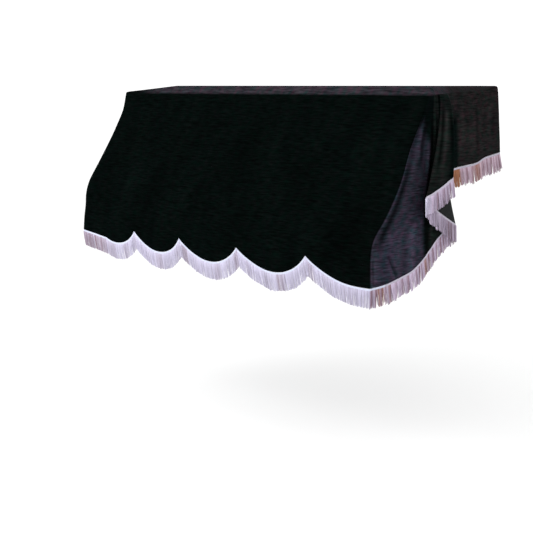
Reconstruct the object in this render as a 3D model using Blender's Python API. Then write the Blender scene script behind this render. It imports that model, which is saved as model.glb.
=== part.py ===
# Piano top cover: a fringed velvet sheet draped over a flat top.
# Frame: +X to the viewer's right, +Y to the back, +Z up, in metres. The origin is on the
# underside of the flat top, at its centre.
import math

import bmesh
import bpy
from mathutils import Vector

# Driving sizes.
TOP_WIDTH = 1.52
TOP_DEPTH = 0.42
CLOTH_THICKNESS = 0.0020
BACK_FLAP_DROP = 0.128
FRINGE_LENGTH = 0.068
FRINGE_GAP = 0.0005
HEADING_HEIGHT = 0.010
HEADING_THICKNESS = 0.0018
STRAND_PITCH = 0.0139
STRAND_SHARE = 0.66
STRAND_TIP_SCALE = 0.62
MOST_STRANDS = 300

HALF_WIDTH = TOP_WIDTH / 2
HALF_DEPTH = TOP_DEPTH / 2

# The rounded rim of the top: how far it reaches in, and how far the fold lies below the top.
RIM_REACH = 0.030
RIM_DROP = 0.026
RIM_DROP_AT_BACK = 0.010
RIM_MIDDLE_ACROSS = 0.55
RIM_MIDDLE_DOWN = 0.36
# The flat panel in the middle of the top, as a share of the top along X and Y.
INNER_PANEL_SCALE = (0.70, 0.55)

# The front left corner of the top sinks a little: how far the dip reaches along X and Y.
DIP_REACH_X = 0.30
DIP_REACH_Y = 0.39

# The front drop: how far it stands out in front of the top, for the depth below the top, at its
# left end and at its right end.
# Columns: depth, out_left, out_right.
FRONT_PROFILE = (
    (0.026, 0.004, 0.002),
    (0.058, 0.016, 0.016),
    (0.098, 0.028, 0.034),
    (0.135, 0.047, 0.056),
    (0.208, 0.091, 0.098),
    (0.306, 0.157, 0.137),
    (0.383, 0.210, 0.184),
    (0.433, 0.228, 0.224),
    (0.483, 0.232, 0.270),
    (0.533, 0.240, 0.284),
    (0.648, 0.250, 0.280),
)

# The front hem, from its left end to its right end: each row starts an arc that hangs below a
# straight line to the next row by its sag, leans to the right, and is drawn by some columns.
# The rows where two arcs meet are the cusps between the scallops. The first arc is straight.
# Columns: x, depth, sag, lean, columns.
SCALLOPS = (
    (-0.760, 0.583, 0.001, 0.000, 4),
    (-0.605, 0.601, 0.031, 0.017, 5),
    (-0.445, 0.562, 0.063, 0.028, 7),
    (-0.181, 0.564, 0.067, 0.021, 8),
    (0.123, 0.568, 0.070, 0.023, 8),
    (0.450, 0.562, 0.022, -0.017, 8),
    (0.723, 0.641, 0.000, 0.000, 0),
)
# How far from the middle the front drop's two ends start on the top's edge.
RIDGE_TOP_X = 0.747

# Folds of the side drops, from the back to the front on the left and from the front to the back
# on the right. A row is one line of the cloth from the top's edge to the hem. The weight
# says how much it falls as a free fold and how little as the ridge of the front drop.
# Columns: top_x, top_y, hem_x, hem_y, hem_depth, fold_weight.
LEFT_DROP = (
    (-0.760, 0.206, -0.776, 0.214, 0.240, 1.0),
    (-0.760, 0.140, -0.772, 0.146, 0.248, 1.0),
    (-0.760, 0.070, -0.780, 0.072, 0.257, 1.0),
    (-0.760, 0.000, -0.774, -0.006, 0.270, 1.0),
    (-0.760, -0.060, -0.783, -0.072, 0.280, 1.0),
    (-0.760, -0.105, -0.771, -0.125, 0.296, 1.0),
    (-0.760, -0.135, -0.786, -0.160, 0.314, 1.0),
    (-0.760, -0.155, -0.812, -0.196, 0.338, 1.0),
    (-0.760, -0.168, -0.828, -0.228, 0.360, 1.0),
    (-0.760, -0.180, -0.820, -0.256, 0.386, 1.0),
    (-0.760, -0.190, -0.796, -0.280, 0.412, 1.0),
    (-0.760, -0.198, -0.780, -0.312, 0.446, 0.9),
    (-0.758, -0.206, -0.776, -0.350, 0.488, 0.7),
    (-0.754, -0.210, -0.772, -0.392, 0.528, 0.45),
    (-0.749, -0.210, -0.768, -0.430, 0.567, 0.2),
)
RIGHT_DROP = (
    (0.750, -0.210, 0.738, -0.430, 0.634, 0.05),
    (0.754, -0.210, 0.750, -0.363, 0.618, 0.2),
    (0.757, -0.208, 0.758, -0.310, 0.603, 0.4),
    (0.760, -0.205, 0.761, -0.262, 0.580, 0.6),
    (0.760, -0.202, 0.762, -0.219, 0.551, 0.75),
    (0.760, -0.199, 0.763, -0.175, 0.516, 0.9),
    (0.760, -0.196, 0.763, -0.126, 0.489, 1.0),
    (0.760, -0.193, 0.764, -0.082, 0.475, 1.0),
    (0.760, -0.192, 0.766, -0.072, 0.472, 1.0),
    (0.760, -0.191, 0.771, -0.068, 0.469, 1.0),
    (0.760, -0.190, 0.777, -0.071, 0.466, 1.0),
    (0.760, -0.189, 0.779, -0.080, 0.463, 1.0),
    (0.760, -0.186, 0.783, -0.136, 0.439, 1.0),
    (0.760, -0.182, 0.786, -0.200, 0.408, 1.0),
    (0.760, -0.178, 0.788, -0.243, 0.380, 1.0),
    (0.760, -0.175, 0.790, -0.271, 0.363, 1.0),
    (0.760, -0.174, 0.792, -0.280, 0.358, 1.0),
    (0.760, -0.173, 0.797, -0.283, 0.354, 1.0),
    (0.760, -0.172, 0.802, -0.279, 0.350, 1.0),
    (0.760, -0.171, 0.805, -0.270, 0.346, 1.0),
    (0.760, -0.167, 0.811, -0.254, 0.337, 1.0),
    (0.760, -0.160, 0.821, -0.234, 0.324, 1.0),
    (0.760, -0.152, 0.834, -0.209, 0.304, 1.0),
    (0.760, -0.142, 0.833, -0.188, 0.296, 1.0),
    (0.760, -0.129, 0.806, -0.148, 0.288, 1.0),
    (0.760, -0.113, 0.782, -0.110, 0.276, 1.0),
    (0.760, -0.072, 0.775, -0.062, 0.272, 1.0),
    (0.760, -0.026, 0.776, -0.020, 0.269, 1.0),
    (0.760, 0.035, 0.783, 0.042, 0.262, 1.0),
    (0.760, 0.110, 0.774, 0.115, 0.247, 1.0),
    (0.760, 0.160, 0.777, 0.166, 0.240, 1.0),
    (0.760, 0.206, 0.777, 0.214, 0.234, 1.0),
)
BACK_COLUMNS = 12
CORNER_FLAP_REACH = 0.05

# Rows of a drop: the share of its depth at each row below the fold at the top's edge.
DROP_ROWS = (0.06, 0.13, 0.21, 0.30, 0.39, 0.48, 0.57, 0.66, 0.75, 0.84, 0.92, 1.0)

# A free fold opens sideways soon and travels along the side later.
FOLD_OPENING_POWER = 0.45
FOLD_TRAVEL_POWER = 1.5

# Soft waves of the free edge below the knee of the front drop.
WAVE_DEPTH_FROM = 0.408
WAVE_DEPTH_TO = 0.608
WAVE_HEIGHT = 0.004
WAVE_LENGTH = 0.31
WAVE_START_ANGLE = 0.8
WAVE_END_SHARE = 0.08

# The back flap stands out a little at its hem, with soft waves.
BACK_FLAP_OUT = 0.010
BACK_WAVE_HEIGHT = 0.003
BACK_WAVE_RADIANS_PER_METRE = 9.0
BACK_FLAP_SPREAD = 0.018

# The strands lean to the viewer's right along the front, and to the back on the right side.
STRAND_LEAN = 0.010
LEAN_REACH = 0.20

# How far strand tips sway and differ in length, and the steps of angle from strand to strand.
STRAND_SWAY = 0.0016
STRAND_LENGTH_SPREAD = 0.003
SWAY_X_STEP = 2.4
SWAY_Y_STEP = 3.7
LENGTH_STEP = 5.1

VELVET_COLOUR = (0.012, 0.018, 0.020)
YARN_COLOUR = (0.78, 0.70, 0.76)


def smooth(value):
    """Ease a share from 0 to 1 with level ends."""
    value = min(1.0, max(0.0, value))
    return value * value * (3 - 2 * value)


def read_table(rows, column, key):
    """Interpolate one column of a table by its first column, along a smooth curve."""
    last = len(rows) - 1
    place = 0
    while place < last - 1 and rows[place + 1][0] < key:
        place += 1
    before = rows[max(place - 1, 0)]
    low = rows[place]
    high = rows[place + 1]
    after = rows[min(place + 2, last)]
    span = high[0] - low[0]
    share = min(1.0, max(0.0, (key - low[0]) / span))
    slope_low = (high[column] - before[column]) / (high[0] - before[0]) * span
    slope_high = (after[column] - low[column]) / (after[0] - low[0]) * span
    square = share * share
    cube = square * share
    return (
        (2 * cube - 3 * square + 1) * low[column]
        + (cube - 2 * square + share) * slope_low
        + (3 * square - 2 * cube) * high[column]
        + (cube - square) * slope_high
    )


def front_stand_out(x, depth):
    """How far the front drop stands out in front of the top at one place."""
    left_end = SCALLOPS[0][0]
    right_end = SCALLOPS[-1][0]
    across = min(1.0, max(0.0, (x - left_end) / (right_end - left_end)))
    out_left = read_table(FRONT_PROFILE, 1, depth)
    out_right = read_table(FRONT_PROFILE, 2, depth)
    out = out_left + (out_right - out_left) * across
    freedom = smooth((depth - WAVE_DEPTH_FROM) / (WAVE_DEPTH_TO - WAVE_DEPTH_FROM))
    ends = smooth(across / WAVE_END_SHARE) * smooth((1 - across) / WAVE_END_SHARE)
    wave = math.sin(2 * math.pi * x / WAVE_LENGTH + WAVE_START_ANGLE)
    return out + WAVE_HEIGHT * freedom * ends * wave


def rim_drop(x, y):
    """Depth of the top's edge below the flat top, for a point on the edge."""
    back_share = min(1.0, max(0.0, (y + HALF_DEPTH) / TOP_DEPTH))
    if x > 0:
        return RIM_DROP + (RIM_DROP_AT_BACK - RIM_DROP) * back_share
    return max(RIM_DROP_AT_BACK, RIM_DROP * (1 - (y + HALF_DEPTH) / DIP_REACH_Y))


def corner_dip(x, y):
    """How far the top sinks at its front left corner."""
    from_left = (x + HALF_WIDTH) / DIP_REACH_X
    from_front = (y + HALF_DEPTH) / DIP_REACH_Y
    return RIM_DROP * max(0.0, 1 - from_left - from_front)


def top_rows(top_x, top_y):
    """Points of one column on the top, from the inner panel out to the top's edge."""
    reach_x = (HALF_WIDTH - RIM_REACH) / HALF_WIDTH
    reach_y = (HALF_DEPTH - RIM_REACH) / HALF_DEPTH
    inner = Vector((top_x * INNER_PANEL_SCALE[0], top_y * INNER_PANEL_SCALE[1], 0.0))
    shoulder = Vector((top_x * reach_x, top_y * reach_y, 0.0))
    shoulder.z = -corner_dip(shoulder.x, shoulder.y)
    edge = Vector((top_x, top_y, -rim_drop(top_x, top_y)))
    middle = shoulder.lerp(edge, RIM_MIDDLE_ACROSS)
    middle.z = shoulder.z + (edge.z - shoulder.z) * RIM_MIDDLE_DOWN
    return [inner, shoulder, middle, edge]


def front_column(x, hem_depth):
    """One column of the front drop, from the inner panel to the hem."""
    across = (x - SCALLOPS[0][0]) / (SCALLOPS[-1][0] - SCALLOPS[0][0])
    top_x = RIDGE_TOP_X * (2 * across - 1)
    column = top_rows(top_x, -HALF_DEPTH)
    fold_depth = -column[-1].z
    for share in DROP_ROWS:
        depth = fold_depth + (hem_depth - fold_depth) * share
        along = smooth(share)
        place_x = top_x + (x - top_x) * along
        column.append(Vector((place_x, -HALF_DEPTH - front_stand_out(x, depth), -depth)))
    return column


def fold_column(row):
    """One column of a side drop, between the ridge's form and a free fold's form."""
    top_x, top_y, hem_x, hem_y, hem_depth, weight = row
    column = top_rows(top_x, top_y)
    fold_depth = -column[-1].z
    ridge_x = SCALLOPS[-1][0] if top_x > 0 else SCALLOPS[0][0]
    full_out = front_stand_out(ridge_x, hem_depth)
    for share in DROP_ROWS:
        depth = fold_depth + (hem_depth - fold_depth) * share
        ridge_travel = front_stand_out(ridge_x, depth) / full_out
        fold_travel = share ** FOLD_TRAVEL_POWER
        travel = ridge_travel + (fold_travel - ridge_travel) * weight
        sideways = travel + (share ** FOLD_OPENING_POWER - travel) * weight
        place_x = top_x + (hem_x - top_x) * sideways
        place_y = top_y + (hem_y - top_y) * travel
        column.append(Vector((place_x, place_y, -depth)))
    return column


def back_column(share):
    """One column of the back flap, from the right corner to the left one."""
    top_x = HALF_WIDTH - TOP_WIDTH * share
    column = top_rows(top_x, HALF_DEPTH)
    fold_depth = -column[-1].z
    from_corner = min(share, 1 - share) * TOP_WIDTH
    side_drop = RIGHT_DROP[-1][4] if share < 0.5 else LEFT_DROP[0][4]
    corner_share = 1 - smooth(from_corner / CORNER_FLAP_REACH)
    hem_depth = BACK_FLAP_DROP + (side_drop - BACK_FLAP_DROP) * corner_share
    wave = BACK_WAVE_HEIGHT * math.sin(BACK_WAVE_RADIANS_PER_METRE * top_x)
    for part in DROP_ROWS:
        depth = fold_depth + (hem_depth - fold_depth) * part
        place_x = top_x * (1 + BACK_FLAP_SPREAD * part)
        place_y = HALF_DEPTH + (BACK_FLAP_OUT + wave) * part
        column.append(Vector((place_x, place_y, -depth)))
    return column


def scallop_columns():
    """Columns of the front drop, with the hem on a round arc between cusps."""
    columns = []
    for number in range(len(SCALLOPS) - 1):
        x_from, depth_from, sag, lean, steps = SCALLOPS[number]
        x_to, depth_to = SCALLOPS[number + 1][:2]
        half = (x_to - x_from) / 2
        radius = (half * half + sag * sag) / (2 * sag)
        spread = math.asin(half / radius)
        for step in range(steps):
            angle = spread * (2 * step / steps - 1)
            x = x_from + half + radius * math.sin(angle)
            share = (x - x_from) / (2 * half)
            arc = radius * (math.cos(angle) - math.cos(spread))
            x += lean * (1 - (2 * share - 1) ** 2)
            columns.append(front_column(x, depth_from + (depth_to - depth_from) * share + arc))
    last = SCALLOPS[-1]
    columns.append(front_column(last[0], last[1]))
    return columns


def cloth_columns():
    """All the columns once round the cover, the fringed ones first, and how many are fringed."""
    columns = [fold_column(row) for row in LEFT_DROP]
    columns += scallop_columns()
    columns += [fold_column(row) for row in RIGHT_DROP]
    fringed = len(columns)
    for step in range(1, BACK_COLUMNS):
        columns.append(back_column(step / BACK_COLUMNS))
    return columns, fringed


def make_material(name, colour, roughness):
    """A cloth material with one base colour."""
    material = bpy.data.materials.new(name)
    material.use_nodes = True
    shader = material.node_tree.nodes["Principled BSDF"]
    shader.inputs["Base Color"].default_value = (*colour, 1.0)
    shader.inputs["Roughness"].default_value = roughness
    shader.inputs["Metallic"].default_value = 0.0
    return material


def add_object(name, mesh_data, material):
    """Turn a bmesh into a named object with one material."""
    mesh = bpy.data.meshes.new(name)
    mesh_data.to_mesh(mesh)
    mesh_data.free()
    mesh.materials.append(material)
    mesh.shade_smooth()
    piece = bpy.data.objects.new(name, mesh)
    bpy.context.scene.collection.objects.link(piece)
    return piece


def make_cloth(columns, material):
    """The sheet, and the ways out of it along its hem: thickness is added outwards."""
    sheet = bmesh.new()
    grid = [[sheet.verts.new(point) for point in column] for column in columns]
    for number, column in enumerate(grid):
        following = grid[(number + 1) % len(grid)]
        for row in range(len(column) - 1):
            sheet.faces.new((column[row], column[row + 1], following[row + 1], following[row]))
    sheet.faces.new([column[0] for column in grid])
    sheet.normal_update()
    hem_normals = [column[-1].normal.copy() for column in grid]
    piece = add_object("cloth", sheet, material)
    thickness = piece.modifiers.new("thickness", "SOLIDIFY")
    thickness.thickness = CLOTH_THICKNESS
    thickness.offset = 1.0
    thickness.use_even_offset = False
    return hem_normals


def hem_frame(columns, hem_normals, number):
    """The hem point of one column, with the ways down and out of the cloth there."""
    point = columns[number][-1]
    down = (point - columns[number][-2]).normalized()
    backwards = (point - columns[number - 1][-1]).normalized()
    forwards = (columns[number + 1][-1] - point).normalized()
    if backwards.dot(forwards) > 0:
        along = (backwards + forwards).normalized()
        down = (down - along * down.dot(along)).normalized()
    return point, down, hem_normals[number]


def strand_counts(columns, fringed):
    """How many strands hang between each pair of neighbouring columns."""
    counts = []
    for number in range(fringed - 1):
        length = (columns[number + 1][-1] - columns[number][-1]).length
        counts.append(max(1, round(length / STRAND_PITCH)))
    total = sum(counts)
    if total > MOST_STRANDS:
        raise ValueError(f"{total} strands are too many")
    return counts


def heading_sections(columns, hem_normals, fringed):
    """Cross sections along the heading: where each strand starts and ends, and the last end."""
    sections = []
    for number, count in enumerate(strand_counts(columns, fringed)):
        start = hem_frame(columns, hem_normals, number)
        end = hem_frame(columns, hem_normals, number + 1)
        for strand in range(count):
            for edge in (0.0, STRAND_SHARE):
                share = (strand + edge) / count
                sections.append([low.lerp(high, share) for low, high in zip(start, end)])
    sections.append(hem_frame(columns, hem_normals, fringed - 1))
    return sections


def make_fringe(columns, hem_normals, fringed, material):
    """The heading strip below the hem, with strands pulled down from its lower face."""
    trim = bmesh.new()
    rings = []
    for point, down, out in heading_sections(columns, hem_normals, fringed):
        upper = point + down * FRINGE_GAP
        lower = upper + down * HEADING_HEIGHT
        thick = out.normalized() * HEADING_THICKNESS
        corners = (upper, lower, lower + thick, upper + thick)
        rings.append([trim.verts.new(corner) for corner in corners])
    strand_roots = []
    for number in range(len(rings) - 1):
        ring = rings[number]
        following = rings[number + 1]
        for corner in range(4):
            other = (corner + 1) % 4
            face = trim.faces.new((ring[corner], ring[other], following[other], following[corner]))
            if corner == 1 and number % 2 == 0:
                strand_roots.append(face)
    trim.faces.new(list(reversed(rings[0])))
    trim.faces.new(rings[-1])
    bmesh.ops.recalc_face_normals(trim, faces=trim.faces)
    grown = bmesh.ops.extrude_discrete_faces(trim, faces=strand_roots)
    for number, tip in enumerate(grown["faces"]):
        middle = tip.calc_center_median()
        sway_x = STRAND_SWAY * math.sin(SWAY_X_STEP * number)
        sway_y = STRAND_SWAY * math.cos(SWAY_Y_STEP * number)
        more = STRAND_LENGTH_SPREAD * math.sin(LENGTH_STEP * number)
        length = FRINGE_LENGTH - HEADING_HEIGHT + more
        lean_x = 0.0
        lean_y = 0.0
        if middle.y < -HALF_DEPTH and abs(middle.x) < RIDGE_TOP_X:
            lean_x = STRAND_LEAN * smooth((RIDGE_TOP_X - middle.x) / LEAN_REACH)
        elif middle.x > HALF_WIDTH:
            lean_y = STRAND_LEAN * smooth(middle.y / LEAN_REACH)
        fall = Vector((lean_x + sway_x, lean_y + sway_y, -length))
        for corner in tip.verts:
            around = (corner.co - middle) * STRAND_TIP_SCALE
            around.z = 0.0
            corner.co = middle + around + fall
    add_object("fringe", trim, material)


def clear_scene():
    """Remove whatever the scene holds at the start."""
    for old in list(bpy.data.objects):
        bpy.data.objects.remove(old, do_unlink=True)


def main():
    """Build the cover."""
    clear_scene()
    velvet = make_material("velvet", VELVET_COLOUR, 0.85)
    yarn = make_material("yarn", YARN_COLOUR, 0.70)
    columns, fringed = cloth_columns()
    hem_normals = make_cloth(columns, velvet)
    make_fringe(columns, hem_normals, fringed, yarn)


main()
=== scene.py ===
# The look of a fringed velvet top cover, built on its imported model.
# Metres, +X to the viewer's right, +Y to the back, +Z up, origin under the flat top.
import math
import random

import bpy
import numpy as np
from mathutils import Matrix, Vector
from mathutils import noise


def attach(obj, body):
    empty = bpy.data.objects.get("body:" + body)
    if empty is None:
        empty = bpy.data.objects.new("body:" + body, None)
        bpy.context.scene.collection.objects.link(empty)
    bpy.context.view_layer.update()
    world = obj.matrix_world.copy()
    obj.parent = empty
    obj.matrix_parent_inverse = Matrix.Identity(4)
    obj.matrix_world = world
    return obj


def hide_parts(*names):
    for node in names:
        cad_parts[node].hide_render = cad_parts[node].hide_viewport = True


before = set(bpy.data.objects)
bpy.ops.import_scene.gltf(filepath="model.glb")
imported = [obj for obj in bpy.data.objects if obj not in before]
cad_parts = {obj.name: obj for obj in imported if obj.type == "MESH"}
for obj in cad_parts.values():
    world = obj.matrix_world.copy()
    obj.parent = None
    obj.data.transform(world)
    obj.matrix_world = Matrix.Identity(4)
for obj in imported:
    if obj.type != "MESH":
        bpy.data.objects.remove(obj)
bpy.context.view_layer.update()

# Camera, at the photograph's place and angle.
CAMERA_PLACE = (2.714, -3.235, 0.0036)
CAMERA_TURN = 41.57
CAMERA_DOWN = 9.62
FOCAL_PIXELS = 1069.7
PHOTO_PIXELS = 533
SENSOR_MM = 36.0

# The cover's main sizes.
HALF_WIDTH = 0.76
HALF_DEPTH = 0.21
BACK_FLAP_DROP = 0.128
RIM_REACH = 0.030
RIM_DROP = 0.026
RIM_DROP_AT_BACK = 0.010
DIP_REACH_X = 0.30
DIP_REACH_Y = 0.39
RIDGE_TOP_X = 0.747
FOLD_OPENING_POWER = 0.45
FOLD_TRAVEL_POWER = 1.5
FLOOR_DEPTH = 1.258

# Soft waves of the free edge below the knee of the front drop.
WAVE_DEPTH_FROM = 0.408
WAVE_DEPTH_TO = 0.608
WAVE_HEIGHT = 0.004
WAVE_LENGTH = 0.31
WAVE_START_ANGLE = 0.8
WAVE_END_SHARE = 0.08

# The back flap stands out a little at its hem, with soft waves.
BACK_FLAP_OUT = 0.010
BACK_WAVE_HEIGHT = 0.003
BACK_WAVE_RADIANS_PER_METRE = 9
BACK_FLAP_SPREAD = 0.018
CORNER_FLAP_REACH = 0.05

# How far the front drop stands out in front of the top, at its left and its right end.
# Columns: depth, out_left, out_right.
FRONT_PROFILE = (
    (0.026, 0.004, 0.002),
    (0.058, 0.016, 0.016),
    (0.098, 0.028, 0.034),
    (0.135, 0.047, 0.056),
    (0.208, 0.091, 0.098),
    (0.306, 0.157, 0.137),
    (0.383, 0.210, 0.184),
    (0.433, 0.228, 0.224),
    (0.483, 0.232, 0.270),
    (0.533, 0.240, 0.284),
    (0.648, 0.250, 0.280),
)

# The front hem's arcs, from the left end to the right end.
# Columns: x, depth, sag, lean.
SCALLOPS = (
    (-0.760, 0.583, 0.001, 0.000),
    (-0.605, 0.601, 0.031, 0.017),
    (-0.445, 0.562, 0.063, 0.028),
    (-0.181, 0.564, 0.067, 0.021),
    (0.123, 0.568, 0.070, 0.023),
    (0.450, 0.562, 0.022, -0.017),
    (0.723, 0.641, 0.000, 0.000),
)

# Lines of the side drops, from the top's edge to the hem, in order round the cover.
# Columns: top_x, top_y, hem_x, hem_y, hem_depth, fold_weight.
LEFT_DROP = (
    (-0.760, 0.206, -0.776, 0.214, 0.240, 1.0),
    (-0.760, 0.140, -0.772, 0.146, 0.248, 1.0),
    (-0.760, 0.070, -0.780, 0.072, 0.257, 1.0),
    (-0.760, 0.000, -0.774, -0.006, 0.270, 1.0),
    (-0.760, -0.060, -0.783, -0.072, 0.280, 1.0),
    (-0.760, -0.105, -0.771, -0.125, 0.296, 1.0),
    (-0.760, -0.135, -0.786, -0.160, 0.314, 1.0),
    (-0.760, -0.155, -0.812, -0.196, 0.338, 1.0),
    (-0.760, -0.168, -0.828, -0.228, 0.360, 1.0),
    (-0.760, -0.180, -0.820, -0.256, 0.386, 1.0),
    (-0.760, -0.190, -0.796, -0.280, 0.412, 1.0),
    (-0.760, -0.198, -0.780, -0.312, 0.446, 0.9),
    (-0.758, -0.206, -0.776, -0.350, 0.488, 0.7),
    (-0.754, -0.210, -0.772, -0.392, 0.528, 0.45),
    (-0.749, -0.210, -0.768, -0.430, 0.567, 0.2),
)
RIGHT_DROP = (
    (0.750, -0.210, 0.738, -0.430, 0.634, 0.05),
    (0.754, -0.210, 0.750, -0.363, 0.618, 0.2),
    (0.757, -0.208, 0.758, -0.310, 0.603, 0.4),
    (0.760, -0.205, 0.761, -0.262, 0.580, 0.6),
    (0.760, -0.202, 0.762, -0.219, 0.551, 0.75),
    (0.760, -0.199, 0.763, -0.175, 0.516, 0.9),
    (0.760, -0.196, 0.763, -0.126, 0.489, 1.0),
    (0.760, -0.193, 0.764, -0.082, 0.475, 1.0),
    (0.760, -0.192, 0.766, -0.072, 0.472, 1.0),
    (0.760, -0.191, 0.771, -0.068, 0.469, 1.0),
    (0.760, -0.190, 0.777, -0.071, 0.466, 1.0),
    (0.760, -0.189, 0.779, -0.080, 0.463, 1.0),
    (0.760, -0.186, 0.783, -0.136, 0.439, 1.0),
    (0.760, -0.182, 0.786, -0.200, 0.408, 1.0),
    (0.760, -0.178, 0.788, -0.243, 0.380, 1.0),
    (0.760, -0.175, 0.790, -0.271, 0.363, 1.0),
    (0.760, -0.174, 0.792, -0.280, 0.358, 1.0),
    (0.760, -0.173, 0.797, -0.283, 0.354, 1.0),
    (0.760, -0.172, 0.802, -0.279, 0.350, 1.0),
    (0.760, -0.171, 0.805, -0.270, 0.346, 1.0),
    (0.760, -0.167, 0.811, -0.254, 0.337, 1.0),
    (0.760, -0.160, 0.821, -0.234, 0.324, 1.0),
    (0.760, -0.152, 0.834, -0.209, 0.304, 1.0),
    (0.760, -0.142, 0.833, -0.188, 0.296, 1.0),
    (0.760, -0.129, 0.806, -0.148, 0.288, 1.0),
    (0.760, -0.113, 0.782, -0.110, 0.276, 1.0),
    (0.760, -0.072, 0.775, -0.062, 0.272, 1.0),
    (0.760, -0.026, 0.776, -0.020, 0.269, 1.0),
    (0.760, 0.035, 0.783, 0.042, 0.262, 1.0),
    (0.760, 0.110, 0.774, 0.115, 0.247, 1.0),
    (0.760, 0.160, 0.777, 0.166, 0.240, 1.0),
    (0.760, 0.206, 0.777, 0.214, 0.234, 1.0),
)

# How fine the sheet is: the step along the hem, and the rows of each zone.
HEM_STEP = 0.0068
BACK_COLUMNS = 96
PANEL_ROWS = 12
RIM_ROWS = 6
DROP_ROWS = 50
INNER_SHARE = 0.02
RIM_POWER = 1.7
ROW_POWER = 1.15
# The sheet starts just above the plain solid's inside and is this thick.
SHEET_START = 0.0004
SHEET_THICKNESS = 0.0012

# Each column's place in its drop's table is far out of range on the other sides.
NOWHERE = -99.0

# Between which places of the drop tables the cloth fans round the two front corners.
CORNER_FAN_LEFT = (5.0, 14.0)
CORNER_FAN_RIGHT = (-1.0, 26.0)

# The top's square back corner on the right stands up a little: its reach along X, Y and down.
BACK_CORNER_LIFT = 0.0085
BACK_CORNER_X = (0.66, 0.75)
BACK_CORNER_Y = (0.11, 0.20)
BACK_CORNER_DEPTHS = (0.015, 0.070)


def smooth(value):
    """Ease a share from 0 to 1 with level ends."""
    value = min(1.0, max(0.0, value))
    return value * value * (3 - 2 * value)


def read_table(rows, column, key):
    """Interpolate one column of a table by its first column, along a smooth curve."""
    last = len(rows) - 1
    place = 0
    while place < last - 1 and rows[place + 1][0] < key:
        place += 1
    before = rows[max(place - 1, 0)]
    low = rows[place]
    high = rows[place + 1]
    after = rows[min(place + 2, last)]
    span = high[0] - low[0]
    share = min(1.0, max(0.0, (key - low[0]) / span))
    slope_low = (high[column] - before[column]) / (high[0] - before[0]) * span
    slope_high = (after[column] - low[column]) / (after[0] - low[0]) * span
    square = share * share
    cube = square * share
    return (
        (2 * cube - 3 * square + 1) * low[column]
        + (cube - 2 * square + share) * slope_low
        + (3 * square - 2 * cube) * high[column]
        + (cube - square) * slope_high
    )


def front_stand_out(x, depth):
    """How far the front drop stands out in front of the top at one place."""
    left_end = SCALLOPS[0][0]
    right_end = SCALLOPS[-1][0]
    across = min(1.0, max(0.0, (x - left_end) / (right_end - left_end)))
    out_left = read_table(FRONT_PROFILE, 1, depth)
    out_right = read_table(FRONT_PROFILE, 2, depth)
    out = out_left + (out_right - out_left) * across
    freedom = smooth((depth - WAVE_DEPTH_FROM) / (WAVE_DEPTH_TO - WAVE_DEPTH_FROM))
    ends = smooth(across / WAVE_END_SHARE) * smooth((1 - across) / WAVE_END_SHARE)
    wave = math.sin(2 * math.pi * x / WAVE_LENGTH + WAVE_START_ANGLE)
    return out + WAVE_HEIGHT * freedom * ends * wave


def rim_drop(x, y):
    """Depth of the top's edge below the flat top, for a point on the edge."""
    back_share = min(1.0, max(0.0, (y + HALF_DEPTH) / (2 * HALF_DEPTH)))
    if x > 0:
        return RIM_DROP + (RIM_DROP_AT_BACK - RIM_DROP) * back_share
    return max(RIM_DROP_AT_BACK, RIM_DROP * (1 - (y + HALF_DEPTH) / DIP_REACH_Y))


def corner_dip(x, y):
    """How far the top sinks at its front left corner."""
    from_left = (x + HALF_WIDTH) / DIP_REACH_X
    from_front = (y + HALF_DEPTH) / DIP_REACH_Y
    return RIM_DROP * max(0.0, 1 - from_left - from_front)


def top_points(top_x, top_y):
    """Points of one line on the top, from near the middle out to the top's edge."""
    reach_x = (HALF_WIDTH - RIM_REACH) / HALF_WIDTH
    reach_y = (HALF_DEPTH - RIM_REACH) / HALF_DEPTH
    points = []
    for row in range(PANEL_ROWS):
        share = INNER_SHARE + (1 - INNER_SHARE) * row / PANEL_ROWS
        x = top_x * reach_x * share
        y = top_y * reach_y * share
        points.append((x, y, -corner_dip(x, y)))
    shoulder_x = top_x * reach_x
    shoulder_y = top_y * reach_y
    shoulder_z = -corner_dip(shoulder_x, shoulder_y)
    edge_z = -rim_drop(top_x, top_y)
    for row in range(RIM_ROWS + 1):
        share = row / RIM_ROWS
        x = shoulder_x + (top_x - shoulder_x) * share
        y = shoulder_y + (top_y - shoulder_y) * share
        points.append((x, y, shoulder_z + (edge_z - shoulder_z) * share**RIM_POWER))
    return points


def drop_shares():
    """Shares of the drop's depth, one a row, closer together just under the top's edge."""
    return [(row / DROP_ROWS) ** ROW_POWER for row in range(1, DROP_ROWS + 1)]


def front_line(x, hem_depth):
    """One line of the front drop, from the top to the hem."""
    across = (x - SCALLOPS[0][0]) / (SCALLOPS[-1][0] - SCALLOPS[0][0])
    top_x = RIDGE_TOP_X * (2 * across - 1)
    points = top_points(top_x, -HALF_DEPTH)
    fold_depth = -points[-1][2]
    for share in drop_shares():
        depth = fold_depth + (hem_depth - fold_depth) * share
        place_x = top_x + (x - top_x) * smooth(share)
        points.append((place_x, -HALF_DEPTH - front_stand_out(x, depth), -depth))
    return points


def side_line(row):
    """One line of a side drop, between the ridge's form and a free fold's form."""
    top_x, top_y, hem_x, hem_y, hem_depth, weight = row
    points = top_points(top_x, top_y)
    fold_depth = -points[-1][2]
    ridge_x = SCALLOPS[-1][0] if top_x > 0 else SCALLOPS[0][0]
    full_out = front_stand_out(ridge_x, hem_depth)
    for share in drop_shares():
        depth = fold_depth + (hem_depth - fold_depth) * share
        ridge_travel = front_stand_out(ridge_x, depth) / full_out
        travel = ridge_travel + (share**FOLD_TRAVEL_POWER - ridge_travel) * weight
        sideways = travel + (share**FOLD_OPENING_POWER - travel) * weight
        place_x = top_x + (hem_x - top_x) * sideways
        place_y = top_y + (hem_y - top_y) * travel
        points.append((place_x, place_y, -depth))
    return points


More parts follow.
